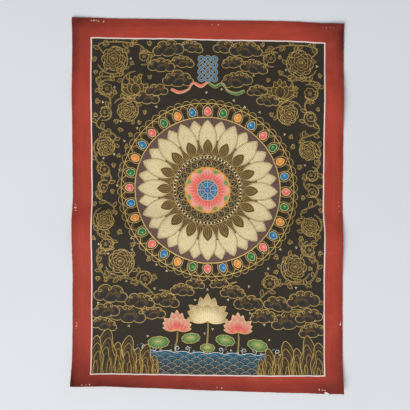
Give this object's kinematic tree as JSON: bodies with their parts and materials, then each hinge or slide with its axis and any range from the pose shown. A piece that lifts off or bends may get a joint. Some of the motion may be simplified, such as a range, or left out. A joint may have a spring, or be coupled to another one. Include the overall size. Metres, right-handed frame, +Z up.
{
  "type": "unmounted thangka canvas painting",
  "caption": "Rectangular painted cotton canvas lying face up: plain border, thin line and ornamental panel, with soft roll swells, curled lower edge and raw cut edges.",
  "frame": {"origin": "middle of the sheet's outline, on the surface it lies on", "axes": "+Z up from the painted face, +Y to the top of the picture, +X to its right"},
  "size_m": [0.5514, 0.7618, 0.0236],
  "materials": {
    "painted_canvas": "matt mineral paint on sized cotton, red border around a dark panel with gold line work"
  },
  "bodies": {
    "root": {"canvas": "painted_canvas"}
  },
  "joints": []
}
